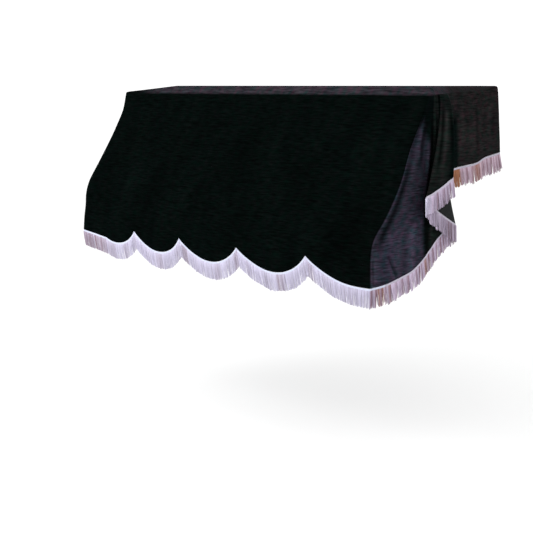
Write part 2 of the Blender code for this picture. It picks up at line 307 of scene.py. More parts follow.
def back_line(share):
    """One line of the back flap, from the right corner to the left one."""
    top_x = HALF_WIDTH - 2 * HALF_WIDTH * share
    points = top_points(top_x, HALF_DEPTH)
    fold_depth = -points[-1][2]
    from_corner = min(share, 1 - share) * 2 * HALF_WIDTH
    side_drop = RIGHT_DROP[-1][4] if share < 0.5 else LEFT_DROP[0][4]
    corner_share = 1 - smooth(from_corner / CORNER_FLAP_REACH)
    hem_depth = BACK_FLAP_DROP + (side_drop - BACK_FLAP_DROP) * corner_share
    out = BACK_FLAP_OUT + BACK_WAVE_HEIGHT * math.sin(BACK_WAVE_RADIANS_PER_METRE * top_x)
    for part in drop_shares():
        depth = fold_depth + (hem_depth - fold_depth) * part
        x = top_x * (1 + BACK_FLAP_SPREAD * part)
        points.append((x, HALF_DEPTH + out * part, -depth))
    return points


def finer_rows(rows):
    """More rows between a drop table's rows, on a curve that never swings past them."""
    table = np.array(rows)
    gaps = np.linalg.norm(np.diff(table[:, 2:5], axis=0), axis=1)
    knots = np.concatenate(([0.0], np.cumsum(np.sqrt(gaps))))
    before = np.vstack((table[:1], table[:-1]))
    after = np.vstack((table[1:], table[-1:]))
    knots_before = np.concatenate((knots[:1], knots[:-1]))
    knots_after = np.concatenate((knots[1:], knots[-1:]))
    slopes = (after - before) / (knots_after - knots_before)[:, None]
    made = []
    places = []
    for number in range(len(table) - 1):
        steps = max(2, round(gaps[number] / HEM_STEP))
        span = knots[number + 1] - knots[number]
        for step in range(steps):
            part = step / steps
            square = part**2
            cube = part**3
            low = (2 * cube - 3 * square + 1) * table[number]
            low = low + (cube - 2 * square + part) * span * slopes[number]
            high = (3 * square - 2 * cube) * table[number + 1]
            high = high + (cube - square) * span * slopes[number + 1]
            made.append(tuple(low + high))
            places.append(number + part)
    made.append(tuple(table[-1]))
    places.append(len(table) - 1)
    return made, places


def front_hem():
    """Places along the front hem, as x and depth, on round arcs between the cusps."""
    places = []
    for number in range(len(SCALLOPS) - 1):
        x_from, depth_from, sag, lean = SCALLOPS[number]
        x_to, depth_to = SCALLOPS[number + 1][:2]
        half = (x_to - x_from) / 2
        radius = (half * half + sag * sag) / (2 * sag)
        spread = math.asin(half / radius)
        steps = round(2 * radius * spread / HEM_STEP)
        for step in range(steps):
            angle = spread * (2 * step / steps - 1)
            x = x_from + half + radius * math.sin(angle)
            share = (x - x_from) / (2 * half)
            arc = radius * (math.cos(angle) - math.cos(spread))
            x += lean * (1 - (2 * share - 1) ** 2)
            places.append((x, depth_from + (depth_to - depth_from) * share + arc))
    places.append(SCALLOPS[-1][:2])
    return places


left_rows, left_places = finer_rows(LEFT_DROP)
# The ridge's own line joins the front to the side, so the side's places start one before nought.
ridge_x, ridge_depth = SCALLOPS[-1][:2]
ridge_y = -HALF_DEPTH - front_stand_out(ridge_x, ridge_depth)
RIDGE_ROW = (RIDGE_TOP_X, -HALF_DEPTH, ridge_x, ridge_y, ridge_depth, 0.0)
right_rows, right_places = finer_rows((RIDGE_ROW, *RIGHT_DROP))
right_rows = right_rows[1:]
right_places = [place - 1 for place in right_places[1:]]
left_lines = [side_line(row) for row in left_rows]
front_lines = [front_line(x, depth) for x, depth in front_hem()]
right_lines = [side_line(row) for row in right_rows]
back_lines = [back_line(step / BACK_COLUMNS) for step in range(1, BACK_COLUMNS)]
sheet = np.array(left_lines + front_lines + right_lines + back_lines)
fringed = len(left_lines) + len(front_lines) + len(right_lines)
front_start = len(left_lines)
front_end = front_start + len(front_lines)
edge_row = PANEL_ROWS + RIM_ROWS

left_place = np.full(len(sheet), NOWHERE)
left_place[:front_start] = left_places
right_place = np.full(len(sheet), NOWHERE)
right_place[front_end:fringed] = right_places


def unit(vectors):
    """Vectors of length one."""
    return vectors / np.maximum(np.linalg.norm(vectors, axis=-1, keepdims=True), 1e-9)


def ease(values, low, high):
    """Ease values from 0 at low to 1 at high."""
    share = np.clip((values - low) / (high - low), 0, 1)
    return share * share * (3 - 2 * share)


def sheet_normals(points):
    """Ways out of the sheet at its points: columns run round it and rows run down it."""
    round_it = np.roll(points, -1, axis=0) - np.roll(points, 1, axis=0)
    down_it = np.gradient(points, axis=1)
    return unit(np.cross(down_it, round_it))


def flat_pattern(points):
    """Where each point lies when the cloth is spread out flat, in metres."""
    steps = np.linalg.norm(np.diff(points[:, edge_row:], axis=1), axis=2)
    reach = np.concatenate((np.zeros((len(points), 1)), np.cumsum(steps, axis=1)), axis=1)
    hem_step = np.linalg.norm(np.diff(points[:, -1], axis=0), axis=1)
    travel = np.concatenate(([0.0], np.cumsum(hem_step)))
    turn = np.zeros(len(points))
    fans = (
        (left_place, CORNER_FAN_LEFT, math.pi, 1.5 * math.pi),
        (right_place, CORNER_FAN_RIGHT, 1.5 * math.pi, 2 * math.pi),
    )
    for place, (place_from, place_to), turn_from, turn_to in fans:
        inside = place > NOWHERE
        low = np.interp(place_from, place[inside], travel[inside])
        high = np.interp(place_to, place[inside], travel[inside])
        share = np.clip((travel[inside] - low) / (high - low), 0, 1)
        turn[inside] = turn_from + (turn_to - turn_from) * share
    turn[front_start:front_end] = 1.5 * math.pi
    turn[fringed:] = 2.5 * math.pi
    spread = np.empty((*points.shape[:2], 2))
    spread[:, :edge_row] = points[:, :edge_row, :2]
    way = np.stack((np.cos(turn), np.sin(turn)), axis=1)
    spread[:, edge_row:] = points[:, edge_row : edge_row + 1, :2] + reach[:, :, None] * way[:, None]
    return spread


pattern = flat_pattern(sheet)
depths = -sheet[:, :, 2]
drop_share = np.zeros(sheet.shape[1])
drop_share[edge_row + 1 :] = drop_shares()

# Soft creases in the side drops: place and share of the drop at both ends, width and height.
# A trough has a height below nought.
LEFT_CREASES = (
    (11.6, 0.06, 12.4, 0.80, 0.010, -0.0016),
    (9.2, 0.08, 9.6, 0.92, 0.012, -0.0014),
    (7.0, 0.10, 6.6, 0.88, 0.012, 0.0014),
    (5.2, 0.05, 4.6, 0.90, 0.011, -0.0015),
    (2.2, 0.04, 2.6, 0.60, 0.012, -0.0008),
    (0.9, 0.10, 1.0, 0.95, 0.014, 0.0008),
)
RIGHT_CREASES = (
    (0.7, 0.15, 1.4, 0.40, 0.007, -0.0017),
    (2.3, 0.16, 3.0, 0.52, 0.008, 0.0013),
    (0.2, 0.12, 0.3, 0.50, 0.009, 0.0009),
    (3.9, 0.10, 3.2, 0.66, 0.008, -0.0016),
    (3.6, 0.62, 4.0, 0.99, 0.011, -0.0018),
    (-0.5, 0.40, -0.4, 0.82, 0.008, -0.0013),
    (0.1, 0.84, 0.8, 0.99, 0.007, -0.0014),
    (1.7, 0.70, 1.9, 0.99, 0.016, 0.0011),
    (-0.8, 0.84, -0.8, 1.00, 0.005, -0.0010),
    (5.4, 0.08, 5.8, 0.50, 0.008, 0.0010),
    (19.6, 0.06, 19.4, 0.88, 0.006, -0.0013),
    (20.8, 0.10, 20.7, 0.84, 0.006, 0.0012),
    (22.2, 0.14, 22.0, 0.74, 0.006, -0.0012),
    (25.3, 0.26, 25.1, 0.99, 0.010, -0.0022),
    (26.8, 0.10, 26.6, 0.80, 0.013, 0.0008),
    (28.2, 0.14, 28.2, 0.94, 0.012, -0.0009),
    (29.6, 0.10, 29.4, 0.90, 0.014, 0.0007),
)
# A crease is drawn in steps, and only on the layer within some places of its middle. Each of its
# flanks sinks a little where it rises. One that ends past this share of the drop runs into the hem.
CREASE_STEPS = 60
CREASE_NEAR = 2.4
FAR_AWAY = 9.0
FLANK_PLACE = 1.9
FLANK_SHARE = 0.35
HEM_CREASE_SHARE = 0.96


def crease_relief(places, creases):
    """Rise and fall of the cloth along a list of creases."""
    made = np.zeros(sheet.shape[:2])
    inside = np.nonzero(places > NOWHERE)[0]
    near_places = places[inside]
    column_numbers = np.arange(len(inside))
    row_numbers = np.arange(sheet.shape[1])
    for place_from, share_from, place_to, share_to, width, height in creases:
        nearest = np.full((len(inside), sheet.shape[1]), FAR_AWAY)
        weight = np.zeros_like(nearest)
        at_hem = 0.5 if share_to > HEM_CREASE_SHARE else 0.0
        for step in range(CREASE_STEPS + 1):
            part = step / CREASE_STEPS
            place = place_from + (place_to - place_from) * part
            share = share_from + (share_to - share_from) * part
            column = np.interp(place, near_places, column_numbers)
            row = np.interp(share, drop_share, row_numbers)
            low_column = min(int(column), len(inside) - 2)
            line = sheet[inside[low_column]] * (1 - column + low_column)
            line = line + sheet[inside[low_column + 1]] * (column - low_column)
            point = np.array([np.interp(row, row_numbers, line[:, axis]) for axis in range(3)])
            distance = np.linalg.norm(sheet[inside] - point, axis=2)
            strength = smooth(4 * min(part, 1 - part) + (at_hem if part > 0.5 else 0.0))
            closer = distance < nearest
            nearest[closer] = distance[closer]
            weight[closer] = strength
        on_layer = np.abs(near_places - (place_from + place_to) / 2) < CREASE_NEAR
        middle = np.exp(-((nearest / width) ** 2))
        flank = np.exp(-(((nearest - FLANK_PLACE * width) / width) ** 2))
        bend = middle - FLANK_SHARE * flank
        made[inside] += bend * weight * height * on_layer[:, None]
    return made


# The turned hem of the back flap shows as a shallow groove.
BACK_HEM_HEIGHT = 0.020
GROOVE_WIDTH = 0.0022
GROOVE_DEPTH = 0.0006

# Slow and quick wrinkles: how many a metre across and down, the noise's layer, and the height.
SLOW_WRINKLES = (7.0, 3.2, 4.0, 0.0009)
QUICK_WRINKLES = (23.0, 11.0, 9.0, 0.00035)
# How much of them shows on the flat top, and between which depths they grow to their full height.
WRINKLES_ON_TOP = 0.15
WRINKLE_DEPTHS = (0.02, 0.22)


def wrinkle(place, kind):
    """Height of one kind of wrinkle at a place on the spread-out cloth."""
    across, down, layer, height = kind
    return height * noise.noise(Vector((place[0] * across, place[1] * down, layer)))


def wrinkles():
    """Slight unevenness of cloth that hangs free: long down the drop and narrow across it."""
    made = np.zeros(sheet.shape[:2])
    free = WRINKLES_ON_TOP + (1 - WRINKLES_ON_TOP) * ease(depths, *WRINKLE_DEPTHS)
    for column in range(sheet.shape[0]):
        for row in range(sheet.shape[1]):
            place = pattern[column, row]
            height = wrinkle(place, SLOW_WRINKLES) + wrinkle(place, QUICK_WRINKLES)
            made[column, row] = height * free[column, row]
    return made


corner = ease(sheet[:, :, 0], *BACK_CORNER_X) * ease(sheet[:, :, 1], *BACK_CORNER_Y)
corner *= 1 - ease(depths, *BACK_CORNER_DEPTHS)
sheet[:, :, 2] += np.clip(depths, 0, BACK_CORNER_LIFT) * corner

relief = wrinkles()
relief += crease_relief(left_place, LEFT_CREASES) + crease_relief(right_place, RIGHT_CREASES)
from_hem = np.linalg.norm(sheet - sheet[:, -1:], axis=2)
groove = np.exp(-(((from_hem - BACK_HEM_HEIGHT) / GROOVE_WIDTH) ** 2))
groove[:fringed] = 0
relief -= GROOVE_DEPTH * groove
plain_normals = sheet_normals(sheet)
sheet = sheet + plain_normals * relief[:, :, None]
normals = sheet_normals(sheet)

# Distance round the hem.
hem = sheet[:, -1]
hem_steps = np.linalg.norm(np.diff(hem, axis=0), axis=1)
hem_distance = np.concatenate(([0.0], np.cumsum(hem_steps)))

# Colours of the velvet on each part of the cover. The front's is the velvet's own near-black; the
# rim's, the top's, the lobe's and the side drops' are painted sheen and painted light, and the
# fold's and the deep one are painted shade, each for how light falls on that part.
FRONT_PILE = (0.0012, 0.0024, 0.0021)
RIM_PAINTED_SHEEN = (0.0300, 0.0262, 0.0335)
SIDE_RIM_PAINTED_SHEEN = (0.0140, 0.0122, 0.0136)
TOP_PAINTED_LIGHT = (0.0150, 0.0135, 0.0165)
LOBE_PAINTED_LIGHT = (0.0265, 0.0248, 0.0385)
SIDE_PAINTED_LIGHT = (0.0112, 0.0104, 0.0106)
FOLD_PAINTED_SHADE = (0.0064, 0.0084, 0.0076)
DEEP_PAINTED_SHADE = (0.0013, 0.0029, 0.0027)
BACK_PILE = (0.0060, 0.0062, 0.0070)

# Where the lit lobe ends at its back, as a share of the drop and a place in the drop's table.
LOBE_ENDS = ((0.0, 3.4), (0.20, 3.6), (0.38, 3.7), (0.60, 2.7), (0.80, 2.9), (1.0, 3.4))


def band(values, middle, half_width):
    """A soft band of values round a middle one."""
    return np.exp(-(((values - middle) / half_width) ** 2))


def pile_colours_with_painted_light():
    """The velvet's colour at each point of the sheet: painted light, sheen and shade laid over the
    front's own colour in turn.
    """
    colours = np.empty((*sheet.shape[:2], 3))
    colours[:] = FRONT_PILE

    def lay(colour, share):
        colours[:] = colours + (np.array(colour) - colours) * share[:, :, None]

    everywhere = np.ones(sheet.shape[:2])
    share = drop_share[None] * everywhere
    place = right_place[:, None] * everywhere
    on_right = (place > NOWHERE).astype(float)
    front_layer = on_right * (place < 12)
    outer_layer = on_right * (place > 15.6)
    # Painted shade: the front corner's folds start from the deep painted shade.
    lay(DEEP_PAINTED_SHADE, front_layer)
    # Painted light on the lobe under the front corner, widest and brightest at its foot, with
    # painted fold shade behind it and painted shade in the hollow of its trough.
    lobe_end = np.interp(share, *zip(*LOBE_ENDS))
    lay(FOLD_PAINTED_SHADE, front_layer * ease(place, lobe_end + 0.4, lobe_end + 0.9))
    wedge = 1 - ease(place, lobe_end - 0.35, lobe_end + 0.35)
    start = np.clip(0.10 + 0.055 * np.abs(place), 0.10, 0.24)
    fall = 0.62 * ease(share, start, start + 0.10) + 0.38 * ease(share, 0.58, 0.84)
    hollow_shade = band(place, -0.45, 0.40) * ease(share, 0.30, 0.42) * (1 - ease(share, 0.72, 0.86))
    lay(LOBE_PAINTED_LIGHT, front_layer * wedge * fall * (1 - 0.68 * hollow_shade))
    # Painted highlights: a lit line down the ridge and another at the lobe's back end.
    lay(LOBE_PAINTED_LIGHT, front_layer * band(place, -0.95, 0.10) * ease(share, 0.10, 0.16) * 0.70)
    lay(SIDE_PAINTED_LIGHT, front_layer * band(place, 3.75, 0.18) * (1 - ease(share, 0.30, 0.45)) * 0.75)
    # Painted shade on the outer fold beside it, with a painted lit front edge and a painted shaded
    # back edge.
    lay(FOLD_PAINTED_SHADE, outer_layer * (1 - ease(place, 23.6, 24.4)))
    lay(SIDE_PAINTED_LIGHT, outer_layer * band(place, 17.0, 0.9) * 0.55)
    lay(SIDE_PAINTED_LIGHT, outer_layer * band(place, 20.8, 0.35) * ease(share, 0.05, 0.2) * 0.55)
    shaded = (1 - ease(place, 25.7, 26.3)) * ease(place, 21.2, 22.3) * ease(share, 0.22, 0.40)
    # Painted light on the side drop behind the fold, then the painted shaded band.
    lay(SIDE_PAINTED_LIGHT, outer_layer * ease(place, 23.2, 23.8))
    lay(DEEP_PAINTED_SHADE, outer_layer * shaded)
    # Painted light on the left side drop, and on its lobe at the front corner.
    place = left_place[:, None] * everywhere
    on_left = (place > NOWHERE).astype(float)
    lay(SIDE_PAINTED_LIGHT, on_left * (1 - ease(place, 6.0, 9.0)))
    left_lobe_light = ease(place, 8.0, 10.0) * (1 - ease(place, 12.0, 14.0)) * ease(depths, 0.18, 0.42)
    lay(LOBE_PAINTED_LIGHT, on_left * left_lobe_light * 0.7)
    back = np.zeros(sheet.shape[:2])
    back[fringed:] = 1
    lay(BACK_PILE, back)
    # Painted sheen on the rim, less of it on the side drops' rim, and painted light on the flat
    # top.
    rows = np.arange(sheet.shape[1])[None] * everywhere
    on_rim = ease(rows, PANEL_ROWS - 2.0, PANEL_ROWS)
    on_rim *= 1 - ease(rows, edge_row - 0.2, edge_row + 1.0)
    edge_x = sheet[:, edge_row, :1] * everywhere
    edge_y = sheet[:, edge_row, 1:2] * everywhere
    on_side = ease(np.abs(edge_x), RIDGE_TOP_X, HALF_WIDTH - 0.001) * ease(edge_y, -0.16, -0.04)
    thin = 1 - ease(edge_x, -0.70, -0.54) * 0.75
    inner_half = 1 - ease(rows, PANEL_ROWS + 0.5, PANEL_ROWS + 2.5)
    lay(RIM_PAINTED_SHEEN, on_rim * (1 - on_side) * (1 - thin + thin * inner_half * 0.8))
    lay(SIDE_RIM_PAINTED_SHEEN, on_rim * on_side)
    lay(TOP_PAINTED_LIGHT, 1 - ease(rows, PANEL_ROWS - 2.0, PANEL_ROWS))
    # Painted highlight on raised creases and painted shade in troughs.
    shade = np.clip(1 + relief * 420.0, 0.42, 1.7)
    return colours * shade[:, :, None]


def material(name):
    """A new material with its nodes, its links and its shader."""
    made = bpy.data.materials.new(name)
    made.use_nodes = True
    nodes = made.node_tree.nodes
    return made, nodes, made.node_tree.links, nodes["Principled BSDF"]


def attribute(nodes, name, output="Vector"):
    """A node's output that reads one of the mesh's own values."""
    made = nodes.new("ShaderNodeAttribute")
    made.attribute_name = name
    return made.outputs[output]


def stretched_noise(nodes, links, vector, stretch, detail=2.0):
    """Noise over a vector that is scaled by its own amount along each axis."""
    scaled = nodes.new("ShaderNodeVectorMath")
    scaled.operation = "MULTIPLY"
    scaled.inputs[1].default_value = stretch
    links.new(vector, scaled.inputs[0])
    made = nodes.new("ShaderNodeTexNoise")
    made.inputs["Scale"].default_value = 1.0
    made.inputs["Detail"].default_value = detail
    links.new(scaled.outputs[0], made.inputs["Vector"])
    return made.outputs["Fac"]


def mixed(nodes, links, share, low, high):
    """Colour between two colours, each a constant or an output."""
    made = nodes.new("ShaderNodeMix")
    made.data_type = "RGBA"
    links.new(share, made.inputs[0])
    for socket, colour in ((made.inputs[6], low), (made.inputs[7], high)):
        if isinstance(colour, tuple):
            socket.default_value = (*colour, 1.0)
        else:
            links.new(colour, socket)
    return made.outputs[2]


def times(nodes, links, first, second):
    """The product of two colours."""
    made = nodes.new("ShaderNodeVectorMath")
    made.operation = "MULTIPLY"
    links.new(first, made.inputs[0])
    links.new(second, made.inputs[1])
    return made.outputs[0]


def stretched(nodes, links, value, low, high):
    """A value spread from low and high to 0 and 1."""
    made = nodes.new("ShaderNodeMapRange")
    made.inputs["From Min"].default_value = low
    made.inputs["From Max"].default_value = high
    links.new(value, made.inputs["Value"])
    return made.outputs["Result"]


def add_bump(nodes, links, shader, height, strength, distance):
    """Drive the shader's normal by a height."""
    bump = nodes.new("ShaderNodeBump")
    bump.inputs["Strength"].default_value = strength
    bump.inputs["Distance"].default_value = distance
    links.new(height, bump.inputs["Height"])
    links.new(bump.outputs["Normal"], shader.inputs["Normal"])


# Unevenness of the pile, as bands, hues, rows and grain: the value that its noise reads, how fine
# it is along each axis, its detail, the noise's low and high ends, and the tints at those ends.
PILE_LAYERS = (
    ("flat", (15.0, 3.0, 1.0), 2.0, (0.30, 0.70), (0.84, 0.86, 0.90), (1.16, 1.14, 1.10)),
    ("flat", (52.0, 44.0, 1.0), 4.0, (0.30, 0.70), (0.52, 1.06, 0.90), (1.48, 0.93, 1.10)),
    ("level", (28.0, 28.0, 240.0), 1.0, (0.25, 0.75), (0.45, 0.45, 0.45), (1.58, 1.58, 1.58)),
    ("flat", (900.0, 900.0, 1.0), 1.0, (0.20, 0.80), (0.80, 0.80, 0.80), (1.20, 1.20, 1.20)),
)
# The woven back: how fine its threads are across and along, and its dark and light tints.
THREADS_ACROSS = 1400.0
THREADS_ALONG = 90.0
BACKING_DARK = (0.006, 0.007, 0.007)
BACKING_LIGHT = (0.020, 0.021, 0.021)


def velvet_material():
    """Near-black green velvet: a mottled face with fine rows across it and a faint sheen, on a base
    colour that holds painted light and shade.
    """
    made, nodes, links, shader = material("velvet_pile")
    shader.inputs["Roughness"].default_value = 0.92
    shader.inputs["Specular IOR Level"].default_value = 0.003
    shader.inputs["Sheen Weight"].default_value = 0.015
    shader.inputs["Sheen Roughness"].default_value = 0.22
    shader.inputs["Sheen Tint"].default_value = (0.84, 0.82, 1.0, 1.0)
    # The base colour starts from the velvet's own colour with the painted light, sheen and shade
    # kept on the mesh.
    colour = attribute(nodes, "pile_with_painted_light")
    shares = []
    for source, stretch, detail, (low, high), dark, light in PILE_LAYERS:
        share = stretched_noise(nodes, links, attribute(nodes, source), stretch, detail)
        share = stretched(nodes, links, share, low, high)
        colour = times(nodes, links, colour, mixed(nodes, links, share, dark, light))
        shares.append(share)
    rows, grain = shares[-2:]
    links.new(colour, shader.inputs["Base Color"])
    height = nodes.new("ShaderNodeMath")
    height.operation = "ADD"
    links.new(rows, height.inputs[0])
    links.new(grain, height.inputs[1])
    add_bump(nodes, links, shader, height.outputs[0], 0.35, 0.0007)
    return made


def backing_material():
    """The woven back of the velvet: matt, and a little lighter than the velvet's face."""
    made, nodes, links, shader = material("velvet_backing")
    shader.inputs["Roughness"].default_value = 0.95
    shader.inputs["Specular IOR Level"].default_value = 0.1
    flat = attribute(nodes, "flat")
    warp = stretched_noise(nodes, links, flat, (THREADS_ACROSS, THREADS_ALONG, 1.0), 1.0)
    weft = stretched_noise(nodes, links, flat, (THREADS_ALONG, THREADS_ACROSS, 1.0), 1.0)
    weave = nodes.new("ShaderNodeMath")
    weave.operation = "MAXIMUM"
    links.new(warp, weave.inputs[0])
    links.new(weft, weave.inputs[1])
    share = stretched(nodes, links, weave.outputs[0], 0.40, 0.75)
    colour = mixed(nodes, links, share, BACKING_DARK, BACKING_LIGHT)
    links.new(colour, shader.inputs["Base Color"])
    add_bump(nodes, links, shader, share, 0.4, 0.0005)
    return made


def set_values(mesh, name, values):
    """Keep vectors or colours on the mesh's points for the materials."""
    made = mesh.attributes.new(name, "FLOAT_VECTOR", "POINT")
    made.data.foreach_set("vector", np.asarray(values, float).reshape(-1))


def mesh_piece(name, points, faces, node=None):
    """A smooth mesh piece that rides on the body."""
    mesh = bpy.data.meshes.new(name)
    mesh.from_pydata(np.asarray(points).reshape(-1, 3).tolist(), [], faces)
    mesh.shade_smooth()
    piece = bpy.data.objects.new(name, mesh)
    bpy.context.scene.collection.objects.link(piece)
    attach(piece, "root")
    if node:
        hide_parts(node)
    return piece


def make_sheet():
    """The cloth as one thin sheet: the velvet's face outside, the woven back inside, and the hem's
    edge; the face's colour holds painted light and shade.
    """
    inside = sheet + normals * SHEET_START
    outside = inside + normals * SHEET_THICKNESS
    columns, rows = sheet.shape[:2]
    numbers = np.arange(columns * rows).reshape(columns, rows)
    beside = np.roll(numbers, -1, axis=0)
    quads = np.stack((numbers[:, :-1], numbers[:, 1:], beside[:, 1:], beside[:, :-1]), axis=-1)
    quads = quads.reshape(-1, 4)
    count = columns * rows
    hem_numbers = numbers[:, -1]
    next_numbers = beside[:, -1]
    edge = (hem_numbers, hem_numbers + count, next_numbers + count, next_numbers)
    edge = np.stack(edge, axis=-1)
    faces = quads.tolist() + [numbers[:, 0].tolist()] + edge.tolist()
    outer_faces = len(faces)
    faces += (quads[:, ::-1] + count).tolist() + [(numbers[::-1, 0] + count).tolist()]
    piece = mesh_piece("velvet_cover", np.concatenate((outside, inside)), faces, "cloth")
    mesh = piece.data
    flat = np.zeros((*pattern.shape[:2], 3))
    flat[:, :, :2] = pattern
    # The velvet's own colour with painted light, sheen and shade, kept on both sides of the sheet.
    pile_with_painted_light = pile_colours_with_painted_light()
    # The pile's rows: by height on the drops, and by depth over the top and on down the back.
    level = sheet.copy()
    level[:, :edge_row, 2] = sheet[:, :edge_row, 1] + HALF_DEPTH - RIM_DROP
    back_drop = depths[fringed:, edge_row:] - depths[fringed:, edge_row : edge_row + 1]
    level[fringed:, edge_row:, 2] = 2 * HALF_DEPTH - RIM_DROP + back_drop
    set_values(mesh, "flat", np.concatenate((flat, flat)))
    set_values(mesh, "pile_with_painted_light", np.concatenate((pile_with_painted_light, pile_with_painted_light)))
    set_values(mesh, "level", np.concatenate((level, level)))
    mesh.materials.append(velvet_material())
    mesh.materials.append(backing_material())
    kinds = np.zeros(len(faces), dtype=int)
    kinds[outer_faces:] = 1
    mesh.polygons.foreach_set("material_index", kinds)
    return piece


cover = make_sheet()


def smoothed(values, distance, reach):
    """Values along a line, averaged over a reach on either side of each point."""
    made = np.empty_like(values)
    for number in range(len(values)):
        weights = np.exp(-(((distance - distance[number]) / reach) ** 2))
        made[number] = (values * weights[:, None]).sum(axis=0) / weights.sum()
    return made


# The fringe's guide: places along the fringed hem, with the ways along, down and out of it.
guide_distance = hem_distance[:fringed]
guide_point = hem[:fringed]
guide_along = smoothed(unit(np.gradient(guide_point, axis=0)), guide_distance, 0.009)
guide_down = unit(sheet[:fringed, -1] - sheet[:fringed, -3])
slant = (guide_down * guide_along).sum(axis=1, keepdims=True)
guide_down = unit(guide_down - guide_along * slant)
guide_out = smoothed(normals[:fringed, -1], guide_distance, 0.004)
guide_out = unit(guide_out - guide_down * (guide_out * guide_down).sum(axis=1, keepdims=True))
hem_length = guide_distance[-1]


def on_guide(values, distance):
    """Read one of the guide's lists at a distance along the hem."""
    return np.array([np.interp(distance, guide_distance, values[:, axis]) for axis in range(3)]).T


HEADING_STEP = 0.0012
# The heading's cross section: how far down, how far out, and how much of the twist shows.
HEADING_SECTION = (
    (0.0002, 0.0003, 0.0),
    (0.0008, 0.0014, 0.6),
    (0.0020, 0.0018, 1.0),
    (0.0031, 0.0011, 0.0),
    (0.0043, 0.0018, -1.0),
    (0.0055, 0.0011, 0.0),
    (0.0067, 0.0018, 1.0),
    (0.0079, 0.0014, 0.6),
    (0.0086, 0.0003, 0.0),
)
TWIST_LENGTH = 0.0042
TWIST_HEIGHT = 0.00035

# The yarn's colours: in the light, in painted shade between bunches and on the side drop, tan (used
# for a painted shadow behind the outer fold and for tan streaks), and the heading's.
YARN_LIGHT = (0.530, 0.505, 0.630)
YARN_SHADE = (0.19, 0.085, 0.105)
YARN_TAN = (0.290, 0.117, 0.056)
YARN_HEADING = (0.640, 0.675, 0.820)


def hem_place(distance):
    """Place in the right drop's table for a distance along the hem, or below nought before it."""
    if distance <= hem_distance[front_end - 1]:
        return -1.0
    on_right = slice(front_end, fringed)
    return float(np.interp(distance, hem_distance[on_right], right_place[on_right]))


def make_heading():
    """The woven heading: three twisted cords side by side, along the hem."""
    distance = np.arange(0.0, hem_length, HEADING_STEP)
    point = on_guide(guide_point, distance)
    down = unit(on_guide(guide_down, distance))
    out = unit(on_guide(guide_out, distance))
    twist = np.sin(2 * np.pi * distance / TWIST_LENGTH)
    rings = []
    for across, height, share in HEADING_SECTION:
        lift = height + TWIST_HEIGHT * share * twist
        rings.append(point + down * (across + 0.0004) + out * lift[:, None])
    rings = np.stack(rings, axis=1)
    count, around = rings.shape[:2]
    numbers = np.arange(count * around).reshape(count, around)
    beside = np.roll(numbers, -1, axis=1)
    quads = np.stack((numbers[:-1], beside[:-1], beside[1:], numbers[1:]), axis=-1)
    faces = quads.reshape(-1, 4).tolist()
    faces.append(numbers[0].tolist())
    faces.append(numbers[-1][::-1].tolist())
    colours = []
    for step in distance:
        place = hem_place(step)
        colour = np.array(YARN_HEADING)
        # Painted shade on the side drop's heading: dimmer and pinker, more so behind the fold.
        if place > 0:
            colour = colour * (0.80 if place < 24 else 0.68) * np.array((1.02, 0.90, 0.88))
        # Painted shade in the grooves between the cords and at the heading's edges, lighter on the
        # cords' crests.
        for section in HEADING_SECTION:
            colours.append(colour * (0.90 + 0.10 * abs(section[2])))
    piece = mesh_piece("fringe_heading", rings, faces, "fringe")
    set_values(piece.data, "yarn", colours)
    return piece


STRAND_LENGTH = 0.0592
STRAND_TOP = 0.0070
# Layers of strands: pitch, radius, sides, distance out from the cloth, shade (painted shade, darker
# on the back layer so the gaps between strands look shaded), rows and seed.
STRAND_LAYERS = (
    (0.0017, 0.00095, 4, 0.0014, 1.00, (0.0, 0.12, 0.34, 0.58, 0.80, 0.95, 1.0), 11),
    (0.0021, 0.00110, 3, 0.0003, 0.74, (0.0, 0.30, 0.65, 0.94, 1.0), 12),
)
STRAND_LEAN = 0.0125
LEAN_REACH = 0.20


def bunches(random_source):
    """Ends of the uneven bunches that the strands hang in, and how far apart they fall."""
    edges = [0.0]
    loose = []
    while edges[-1] < hem_length:
        place = hem_place(edges[-1])
        wide = 1.0 if place > -0.99 else 0.0
        edges.append(edges[-1] + random_source.uniform(0.006 + 0.005 * wide, 0.017 + 0.015 * wide))
        loose.append(wide)
    return np.array(edges), loose


def strand_lean(root, place):
    """Which way the ends of the strands are brushed."""
    if place < -0.99:
        return np.array((STRAND_LEAN * smooth((RIDGE_TOP_X - root[0]) / LEAN_REACH), 0.0, 0.0))
    if place < 8:
        return np.array((0.0, 0.011 * smooth(place + 1) * smooth((8 - place) / 2), 0.0))
    to_back = 0.004 + 0.010 * smooth((place - 19) / 3) + 0.006 * smooth((place - 29) / 2)
    return np.array((0.0, to_back, 0.0))


# Tan streaks of the fringe: place in the right drop's table, half width and strength.
TAN_STREAKS = (
    (-0.46, 0.10, 0.75),
    (-0.16, 0.07, 0.60),
    (0.22, 0.05, 0.45),
    (3.55, 0.16, 0.60),
    (18.9, 0.10, 0.25),
    (28.0, 0.36, 0.62),
)


